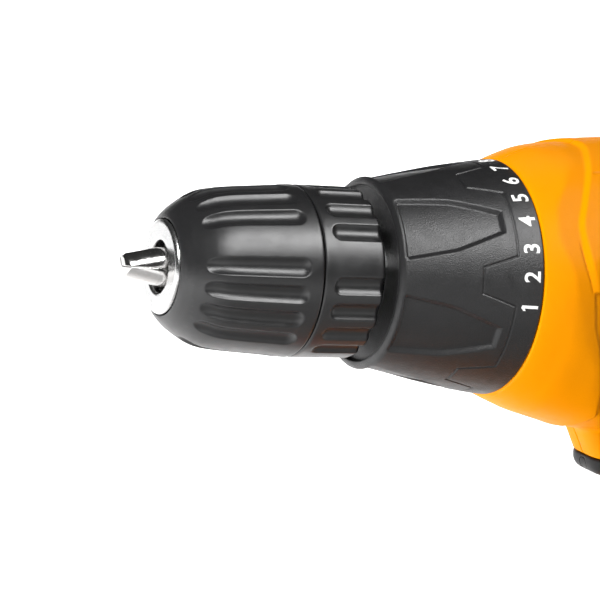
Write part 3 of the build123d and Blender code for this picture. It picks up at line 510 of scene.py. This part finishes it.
def poly(u, v, pts):
    d = np.full(u.shape, 1e18); sg = np.ones(u.shape)
    for i in range(len(pts)):
        a, b = pts[i], pts[i - 1]
        ex, ey = b[0] - a[0], b[1] - a[1]
        wx, wy = u - a[0], v - a[1]
        t = np.clip((wx * ex + wy * ey) / (ex * ex + ey * ey), 0, 1)
        d = np.minimum(d, (wx - ex * t)**2 + (wy - ey * t)**2)
        c1, c2, c3 = v >= a[1], v < b[1], ex * wy > ey * wx
        sg = np.where((c1 & c2 & c3) | (~c1 & ~c2 & ~c3), -sg, sg)
    return sg * np.sqrt(d)


def barrel_rad(s, ps):
    """Radius of the barrel with the relief of its front."""
    x = s / S; ph = np.degrees(ps) - 10
    ra = curve(x, R_A)
    b1 = curve(ph, B1X)
    valley = curve(b1, R_A) + 0.085 * (x - b1)
    r = smin(ra, valley, 0.22)
    d2 = x - curve(ph, B2X)
    up = sstep(-5.9, -5.3, ph)
    r = r + 0.8 * sstep(-0.15, 1.25, d2) * up
    d3 = x - interp(ph, B3X)
    r = r - 0.55 * sstep(-0.1, 0.45, d3) * (1 - up)
    # dark joint lines
    g = np.exp(-((d2 + 0.25) / 0.16)**2) * sstep(17, 13, ph) * sstep(-6.5, -5, ph)
    g = np.maximum(g, np.exp(-((ph - 48) * RD * 28 / 0.22)**2) * sstep(86, 87.5, x))
    r = r - 0.3 * g
    r = r - 0.95 * sstep(45, 80, ph) * sstep(77, 88, x)
    r = r + 0.85 * np.exp(-((ph + 90) / 22)**2) * sstep(88, 97, x)
    far = curve(s, BARREL) / S
    return (r + (far - r) * sstep(100, 122, s)) * S


def far_fn(pts):
    """Slope factor so that the field is close to a distance."""
    ss = np.linspace(pts[0][0], pts[-1][0], 400); rr = curve(ss, pts)
    return ss, np.hypot(1, np.gradient(rr, ss))


GS, GV = far_fn(BARREL)


def barrel_fn(s, y, z):
    ay = np.abs(y); rho = np.hypot(y, z)
    ps = np.arctan2(z, ay)
    r = barrel_rad(np.clip(s, 75.2, 174), ps)
    f = (rho - r) / np.maximum(np.interp(s, GS, GV), 1)
    f = smax(f, ay - 28.8, 1.6)
    f = smax(f, s - 173.6, 1.2)
    return smax(f, 75.3 - s, 0.25)


def grip_fn(s, y, z):
    zs = [h[0] for h in HANDLE][::-1]
    get = lambda k: curve(z, [(h[0], h[k]) for h in HANDLE][::-1])
    hy, a, b, r = get(1), get(2), get(3), get(4)
    f = rbox2(s, y, (a + b) / 2, 0, (b - a) / 2, hy, r)
    f = f / np.hypot(1, 0.9 * sstep(-96, -106, z))
    return np.maximum(np.maximum(f, -113.5 - z), z - 2.0)


def boss_fn(s, y, z):
    """Neck under the barrel: round-nosed in plan, leaning back, flat underneath."""
    a = 95.1 - (z + 20.0) * 0.556
    f = rbox2(s, y, (a + 140.0) / 2, 0, (140.0 - a) / 2, 9.0, 6.6) * 0.88
    f = smax(f, -46.6 - z, 0.5)
    cut = rbox3(s, y, z, (80.0, -30.0, -70.0), (118.2, 30.0, -39.4), 0.2)
    f = smax(f, -cut, 0.5)
    return np.maximum(f, z + 18.0)


def foot_fn(s, y, z):
    f = rbox2(s, y, 134.0, 0, 48.0, 35.5, 13.0)
    return smax(np.maximum(f, -124.0 - z), z + 110.5, 4.0)


def body_fn(s, y, z):
    f = smin(barrel_fn(s, y, z), grip_fn(s, y, z), 9.0)
    f = smin(f, boss_fn(s, y, z), 1.6)
    return smin(f, foot_fn(s, y, z), 7.0)


def slots(s, y, z):
    """Everything that is cut through the shell, as one distance (negative inside a cut)."""
    d = rbox3(s, y, z, (116, -9.8, -72.6), (140.5, 9.8, -46.8), 0.8)
    d = np.minimum(d, rbox3(s, y, z, (133.6, -45, -45.4), (142.4, 45, -38.9), 1.5))
    d = np.minimum(d, rbox3(s, y, z, (102.0, -5.2, 24), (117.7, 5.2, 44), 0.5))
    d = np.minimum(d, rbox3(s, y, z, (84, -27.2, -134), (176.2, 27.2, -112.6), 0.6))
    d = np.minimum(d, rbox3(s, y, z, (84, -30.2, -119.2), (176.2, 30.2, -116.2), 0.3))
    for i in range(5):
        v = 124.0 + 5.6 * i
        d = np.minimum(d, np.maximum(poly(s, z, [(v, -6), (v + 2.4, -6), (v + 5.6, 8), (v + 3.2, 8)]) - 0.25, 20 - np.abs(y)))
    d = np.minimum(d, cyl(s, y, z, (131.0, -40, -116.9), (131.0, -31, -116.9), 3.0))
    return np.minimum(d, cyl(s, y, z, (131.0, 31, -116.9), (131.0, 40, -116.9), 3.0))


def heads(s, y, z, r=3.1):
    d = np.full(s.shape, 1e9)
    for a, b, dep in POSTS:
        hole = np.maximum(np.hypot(s - a, z - b) - r, np.maximum(y + dep, -60 - y))
        d = np.minimum(d, hole)
        rim = np.hypot(np.hypot(s - a, z - b) - r - 0.3, 0)
    return d


def housing_fn(side):
    def fn(s, y, z):
        o = body_fn(s, y, z)
        inner = np.maximum(o + 2.8, -109.0 - z)
        front = np.maximum(np.hypot(y, z) - 23.0, s - 79.5)
        f = np.maximum(o, -inner)
        # screw posts
        for a, b, dep in POSTS:
            c = np.hypot(s - a, z - b)
            f = np.minimum(f, np.maximum(np.maximum(c - 3.5, np.abs(y) - dep - 2.5), o))
        zone = np.maximum(poly(s, z, RUB), -1.5 - o)
        f = smax(f, -zone, 0.1)
        f = np.maximum(f, -slots(s, y, z))
        f = np.maximum(f, -front)
        if side < 0:
            f = np.maximum(f, -heads(s, y, z))
        # parting line with a fine softened edge
        return smax(f, side * -y + 0.045, 0.12)
    return fn


def rubber_fn(side):
    def fn(s, y, z):
        o = body_fn(s, y, z)
        edge = poly(s, z, RUB) + 0.12
        swell = 0.25 * sstep(0, -0.7, edge)
        # grip pattern: slanted shallow ribs on the sides of the handle
        u = (s * 0.5 + z * 0.866)
        rib_ = 0.5 + 0.5 * np.cos(2 * math.pi * u / 3.2)
        win = sstep(0, -2.5, poly(s, z, [(155, -32), (167, -36), (167, -94), (146, -90), (143, -54)]))
        f = smax(o - swell + 0.35 * rib_ * win, -(o + 1.45), 0.1)
        f = smax(f, edge, 0.35)
        f = np.maximum(f, -rbox3(s, y, z, (116, -9.8, -72.6), (140.5, 9.8, -46.8), 0.8))
        if side < 0:
            f = np.maximum(f, -heads(s, y, z))
        return smax(f, side * -y + 0.045, 0.12)
    return fn


coarse = 1.0
sx = axis_mix(74.6, 74.6, 106, 183.2, 0.32, 0.62 * coarse)
zx = axis_mix(-125, -60, 31.5, 34.5, 0.42 * coarse, 0.6 * coarse)
for side, nm in ((-1, "left"), (1, "right")):
    y0, y1 = (-36.6, 0.5) if side < 0 else (-0.5, 36.6)
    yx = np.arange(y0, y1 + 0.3, 0.42 * coarse)
    P, F = surface_nets(housing_fn(side), sx, yx, zx)
    new_mesh(f"housing_{nm}_shell", P, F, YELLOW, "drill", [f"housing_{nm}"])
    P, F = surface_nets(rubber_fn(side), np.arange(120, 179, 0.5 * coarse), yx, np.arange(-103, 34, 0.5 * coarse))
    new_mesh(f"grip_{nm}_rubber", P, F, RUBBER, "drill", [f"grip_{nm}"])

# ------------------------------------------------------------------ work light cap
def cap_form(s, y, z):
    f = rbox2(s, y, 112.0, 0, 6.1, 8.8, 6.3)
    f = np.where(s > 112, rbox2(s, y, 112.0, 0, 6.1, 8.8, 0.8), f)
    f = smax(f, -43.5 - z, 3.4)
    return smax(f, z + 39.48, 0.5)


def bezel_fn(s, y, z):
    return smax(cap_form(s, y, z), -cyl(s, y, z, (100, 0, -41.6), (114, 0, -41.6), 1.4), 0.1)


P, F = surface_nets(bezel_fn, np.arange(105.2, 118.8, 0.2), np.arange(-9.5, 9.6, 0.2), np.arange(-45.2, -38.8, 0.2))
new_mesh("light_cap", P, F, CAP_SHADED, "drill", ["light_bezel"])


def lens_fn(s, y, z):
    f = cyl(s, y, z, (100, 0, -41.6), (113.9, 0, -41.6), 1.36)
    return smax(f, cap_form(s, y, z) + 0.02, 0.08)


P, F = surface_nets(lens_fn, np.arange(105.2, 114.6, 0.14), np.arange(-1.9, 1.95, 0.14), np.arange(-43.6, -39.7, 0.14))
new_mesh("light_lens_dome", P, F, LENS_PAINTED_SHADE, "drill", ["light_lens"])

# ------------------------------------------------------------------ trigger, lever, selector
def trigger_fn(s, y, z):
    front = curve(z, [(-73, 122.5), (-70.5, 120.3), (-68, 119.0), (-64, 118.35), (-60, 118.8), (-56, 119.2), (-52, 118.7), (-50, 118.9), (-47, 120.9)])
    a = front + 6.2 - np.sqrt(np.maximum(6.2**2 - np.maximum(np.abs(y) - 3.3, 0)**2, 0))
    f = smax((a - s) * 0.85, np.abs(y) - 9.4, 1.5)
    f = smax(smax(f, s - 132.5, 0.4), smax(z + 47.1, -72.3 - z, 0.5), 1.0)
    f = f + 0.25 * (0.5 + 0.5 * np.cos(2 * math.pi * z / 2.4)) * sstep(8.2, 7.2, np.abs(y)) * sstep(-70, -68, z) * sstep(-50, -52, z) * sstep(125, 122, s)
    return np.minimum(f, cyl(s, y, z, (132.0, 0, -56), (144.0, 0, -56), 2.4))


P, F = surface_nets(trigger_fn, np.arange(117.5, 145, 0.35), np.arange(-10.1, 10.2, 0.35), np.arange(-73.2, -46.3, 0.35))
new_mesh("trigger_body", P, F, RUBBER, "trigger", ["trigger"])


def lever_fn(s, y, z):
    f = rbox3(s, y, z, (134.0, -22.3, -45.1), (142.0, 22.3, -39.3), 1.1)
    ribs = 0.3 * (0.5 + 0.5 * np.cos(2 * math.pi * s / 1.9)) * sstep(20.6, 21.2, np.abs(y))
    tri = np.maximum(poly(s, z, [(136.4, -42.2), (139.6, -44.0), (139.6, -40.4)]), 21.7 - np.abs(y))
    return np.maximum(f + ribs * 0.6, -tri)


P, F = surface_nets(lever_fn, np.arange(133.5, 142.6, 0.28), np.arange(-22.9, 23, 0.28), np.arange(-45.7, -38.7, 0.28))
new_mesh("direction_lever_body", P, F, BLACK, "lever", ["direction_lever"])


def selector_fn(s, y, z):
    f = rbox3(s, y, z, (110.3, -5.0, 26.8), (117.4, 5.0, 34.6), 0.6)
    f = np.minimum(f, rbox3(s, y, z, (105.6, -5.0, 26.2), (117.4, 5.0, 27.8), 0.2))
    for a in (111.8, 113.5, 115.2):
        f = smax(f, -(np.hypot(s - a, z - 34.7) - 0.55), 0.15)
    return np.maximum(f, -rbox3(s, y, z, (106.8, -1.3, 25), (114.3, 1.3, 28.9), 0.1))


P, F = surface_nets(selector_fn, np.arange(105, 118, 0.25), np.arange(-5.5, 5.6, 0.25), np.arange(25.7, 35.2, 0.25))
new_mesh("speed_selector_body", P, F, BLACK, "selector", ["speed_selector"])


# ------------------------------------------------------------------ battery
def pack_fn(s, y, z, off=0.0):
    return rbox2(s, y, 129.0, 0, 55.0 - off, 37.0 - off, 12.0 - off)


BS = [(79.2, -28), (79.2, 28), (178.8, -28), (178.8, 28)]


def base_fn(s, y, z):
    o = smax(pack_fn(s, y, z), -158.0 - z, 3.5)
    # side panels: a shallow recessed field with ribs on each side
    fld = np.maximum(rbox2(s, z, 129.0, -147.2, 36.0, 7.2, 3.0), 20 - np.abs(y))
    o2 = o + 0.7 * sstep(0.5, -0.5, fld)
    ribs = 0.35 * sstep(0.5, -0.5, fld + 1.5) * (0.5 + 0.5 * np.cos(2 * math.pi * s / 4.0))
    o2 = o2 - ribs
    f = smax(o2, z + 135.06, 0.35)
    f = np.maximum(f, -np.maximum(np.maximum(pack_fn(s, y, z, 2.4), -155.4 - z), -134.0 + z - 5))
    for a, b in BS:
        c = np.hypot(s - a, y - b)
        f = np.minimum(f, np.maximum(np.maximum(c - 3.4, z + 136.2), np.maximum(-155.6 - z, pack_fn(s, y, z))))
        f = np.maximum(f, -np.maximum(c - 2.5, z + 150.0))
    f = np.maximum(f, -rbox3(s, y, z, (72, -13.2, -138.4), (86.2, 13.2, -133), 0.4))
    return f


def lid_fn(s, y, z):
    o = smax(pack_fn(s, y, z), z + 124.2, 2.2)
    o = smax(o, -134.94 - z, 0.35)
    f = np.minimum(o, rbox3(s, y, z, (87.0, -26.9, -130.0), (175.8, 26.9, -113.2), 1.6))
    f = np.minimum(f, rbox3(s, y, z, (90.0, -29.8, -119.0), (175.0, 29.8, -116.6), 0.4))
    f = np.maximum(f, -np.maximum(pack_fn(s, y, z, 2.4), z + 126.8))
    f = np.maximum(f, -rbox3(s, y, z, (89.5, -24.4, -137), (173.4, 24.4, -115.6), 0.8))
    for b in (-12, -4, 4, 12):
        f = np.maximum(f, -rbox3(s, y, z, (138.0, b - 1.0, -118.0), (178, b + 1.0, -112.0), 0.05))
    f = np.maximum(f, -rbox3(s, y, z, (139.8, -17, -120.5), (180, 17, -112.0), 0.1))
    f = np.maximum(f, -rbox3(s, y, z, (72, -13.2, -138.0), (86.0, 13.2, -120), 0.5))
    f = np.minimum(f, rbox3(s, y, z, (86.0, -13.2, -134.0), (87.4, 13.2, -120.0), 0.1))
    return f


def button_fn(s, y, z):
    f = poly(s, z, [(74.3, -134.6), (74.3, -125.0), (78.5, -120.6), (85.6, -120.6), (85.6, -134.6)])
    f = smax(f, np.abs(y) - 12.9, 1.0)
    f = f + 0.35 * (0.5 + 0.5 * np.cos(2 * math.pi * z / 2.2)) * sstep(10.5, 9.5, np.abs(y)) * sstep(75.6, 75.0, s) * sstep(-133.6, -132.4, z) * sstep(-125, -126, z)
    f = np.maximum(f, -rbox3(s, y, z, (77.1, -10.5, -138), (83.6, 10.5, -123.0), 0.2))
    return np.minimum(f, rbox3(s, y, z, (83.0, -8, -121), (85.6, 8, -117.6), 0.4))


bx = np.arange(73.4, 184.7, 0.55 * coarse); by = np.arange(-37.7, 37.8, 0.55 * coarse)
P, F = surface_nets(base_fn, bx, by, np.arange(-158.8, -134.2, 0.5 * coarse))
new_mesh("battery_base_shell", P, F, BLACK, "battery", ["battery_base"])
P, F = surface_nets(lid_fn, bx, by, np.arange(-135.8, -112.4, 0.5 * coarse))
new_mesh("battery_lid_shell", P, F, BLACK, "battery", ["battery_lid"])
P, F = surface_nets(button_fn, np.arange(73.8, 86.1, 0.3), np.arange(-13.4, 13.5, 0.3), np.arange(-135.1, -117, 0.3))
new_mesh("battery_button_body", P, F, RED, "button", ["battery_button"])

# ------------------------------------------------------------------ finishes of the inner pieces
FINISH = {"jaw_nut": STEEL, "nut_balls": STEEL, "chuck_screw": SCREW, "output_spindle": STEEL, "front_bearing": STEEL, "clutch_nut": BLACK, "clutch_spring": SCREW, "clutch_washer": STEEL, "clutch_balls": STEEL,
          "gearbox_front": BLACK, "gearbox_case": BLACK, "ring_gear_front": STEEL, "ring_gear_rear": STEEL, "rear_carrier": STEEL, "motor_pinion": BRASS, "motor_plate": ZINC, "gearbox_screws": SCREW,
          "motor_can": STEEL, "motor_magnets": MAGNET, "armature": COPPER, "motor_fan": BLACK, "motor_end_cap": NYLON, "carbon_brushes": CARBON, "housing_screws": SCREW, "trigger_spring": SPRING,
          "switch_body": BLACK, "wiring": RED, "terminal_block": NYLON, "shift_fork": SPRING, "clip_inserts": BRASS, "battery_cells": CELL, "battery_contacts": NICKEL, "battery_board": BOARD, "battery_screws": SCREW, "button_springs": SPRING}
for n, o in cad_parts.items():
    m = FINISH.get(n) or (STEEL if n.startswith("planet") else None)
    if m is None:
        m = {"chuck_body": STEEL, "jaw_1": JAW, "jaw_2": JAW, "jaw_3": JAW, "housing_left": YELLOW, "housing_right": YELLOW, "grip_left": RUBBER, "grip_right": RUBBER, "battery_button": RED, "light_lens": LENS_PAINTED_SHADE}.get(n, BLACK)
    o.data.materials.clear(); o.data.materials.append(m)

# ------------------------------------------------------------------ floor, backdrop and lights
def sheet_of(name, pts, mat):
    me = bpy.data.meshes.new(name)
    me.from_pydata(pts, [], [(0, 1, 2, 3)])
    o = bpy.data.objects.new(name, me); bpy.context.collection.objects.link(o)
    me.materials.append(mat)
    return o


FLOOR_PAINTED_SHADOW = bpy.data.materials.new("pale_floor_painted_shadow"); FLOOR_PAINTED_SHADOW.use_nodes = True
fb = FLOOR_PAINTED_SHADOW.node_tree.nodes["Principled BSDF"]
fnn = FLOOR_PAINTED_SHADOW.node_tree.nodes; fl = FLOOR_PAINTED_SHADOW.node_tree.links
# painted shadow: a darker, non-glowing patch painted on the floor round (0.03, -0.20) in front of the drill; pale and
# glowing further out
ftc = fnn.new("ShaderNodeTexCoord"); shadow_patch_dist = fnn.new("ShaderNodeVectorMath"); shadow_patch_dist.operation = "DISTANCE"; shadow_patch_dist.inputs[1].default_value = (0.03, -0.20, 0.0)
fl.new(ftc.outputs["Object"], shadow_patch_dist.inputs[0])
fno = fnn.new("ShaderNodeTexNoise"); fno.inputs["Scale"].default_value = 4; fadd = fnn.new("ShaderNodeMath"); fadd.operation = "MULTIPLY_ADD"; fadd.inputs[1].default_value = 0.02
fl.new(fno.outputs["Fac"], fadd.inputs[0]); fl.new(shadow_patch_dist.outputs["Value"], fadd.inputs[2])
for socket, lo_, hi_ in (("Base Color", 0.40, 0.9), ("Emission Strength", 0.0, 0.7)):
    fm = fnn.new("ShaderNodeMapRange"); fm.interpolation_type = "SMOOTHSTEP"
    fm.inputs["From Min"].default_value = 0.15; fm.inputs["From Max"].default_value = 0.38
    fm.inputs["To Min"].default_value = lo_; fm.inputs["To Max"].default_value = hi_
    fl.new(fadd.outputs[0], fm.inputs["Value"]); fl.new(fm.outputs[0], fb.inputs[socket])
fb.inputs["Roughness"].default_value = 0.9; fb.inputs["Emission Color"].default_value = (1, 1, 1, 1)
WALL = bpy.data.materials.new("white_wall"); WALL.use_nodes = True
wb = WALL.node_tree.nodes["Principled BSDF"]; wb.inputs["Base Color"].default_value = (0.9, 0.9, 0.9, 1); wb.inputs["Roughness"].default_value = 0.95
wb.inputs["Emission Color"].default_value = (1, 1, 1, 1); wb.inputs["Emission Strength"].default_value = 1.0

CAM = Vector((-0.286786, -0.474867, 0.241732))
LOOK = Vector((0.431264, 0.886478, -0.167831)).normalized()
RIGHT = Vector((0.901938, -0.418881, 0.105111)); UP = Vector((-0.022878, 0.196705, 0.980200))
sheet_of("floor", [(-3, -3, 0), (3, -3, 0), (3, 3, 0), (-3, 3, 0)], FLOOR_PAINTED_SHADOW)
c = CAM + LOOK * 1.6
sheet_of("backdrop", [tuple(c - RIGHT * 1.0 - Vector((0, 0, 1)) * 0.5), tuple(c + RIGHT * 1.0 - Vector((0, 0, 1)) * 0.5), tuple(c + RIGHT * 1.0 + Vector((0, 0, 1)) * 0.42), tuple(c - RIGHT * 1.0 + Vector((0, 0, 1)) * 0.42)], WALL)


def area(name, at_, to, sx_, sy_, power, color=(1, 1, 1)):
    l = bpy.data.lights.new(name, "AREA"); l.shape = "RECTANGLE"; l.size = sx_; l.size_y = sy_; l.energy = power; l.color = color
    o = bpy.data.objects.new(name, l); bpy.context.collection.objects.link(o)
    o.location = at_
    o.rotation_euler = (Vector(to) - Vector(at_)).to_track_quat("-Z", "Y").to_euler()
    return o


MIDP = (-0.04, 0, 0.158)
key = area("key", (0.22, -0.66, 0.94), MIDP, 1.5, 0.42, 27)
key.visible_diffuse = False
front = area("front", (-1.04, -0.33, 0.88), MIDP, 0.5, 0.5, 32)
front.visible_glossy = False
top = area("top_fill", (0.3, 0.7, 1.3), MIDP, 0.8, 0.5, 3)
top.visible_glossy = False
low = area("low_fill", (-0.09, 0.03, 0.012), (-0.02, 0.0, 0.158), 0.16, 0.16, 0.66)
low.visible_glossy = False
w = bpy.data.worlds.new("world"); bpy.context.scene.world = w; w.use_nodes = True
wn = w.node_tree.nodes; wl = w.node_tree.links
bg = wn["Background"]; bg.inputs[0].default_value = (1, 1, 1, 1)
lp = wn.new("ShaderNodeLightPath"); mr = wn.new("ShaderNodeMapRange"); md = wn.new("ShaderNodeMath")
mr.inputs["To Min"].default_value = 0.035; mr.inputs["To Max"].default_value = 1.0
md.operation = "MULTIPLY_ADD"; md.inputs[1].default_value = 0.22
wl.new(lp.outputs["Is Camera Ray"], mr.inputs["Value"]); wl.new(lp.outputs["Is Diffuse Ray"], md.inputs[0]); wl.new(mr.outputs[0], md.inputs[2]); wl.new(md.outputs[0], bg.inputs[1])
bpy.context.scene.view_settings.view_transform = "Standard"

cam = bpy.data.cameras.new("camera"); cam.lens = 153.95; cam.sensor_width = 36
co = bpy.data.objects.new("camera", cam); bpy.context.collection.objects.link(co)
co.matrix_world = Matrix(((RIGHT.x, UP.x, -LOOK.x, CAM.x), (RIGHT.y, UP.y, -LOOK.y, CAM.y), (RIGHT.z, UP.z, -LOOK.z, CAM.z), (0, 0, 0, 1)))
cam.clip_start = 0.01; cam.clip_end = 20
bpy.context.scene.camera = co
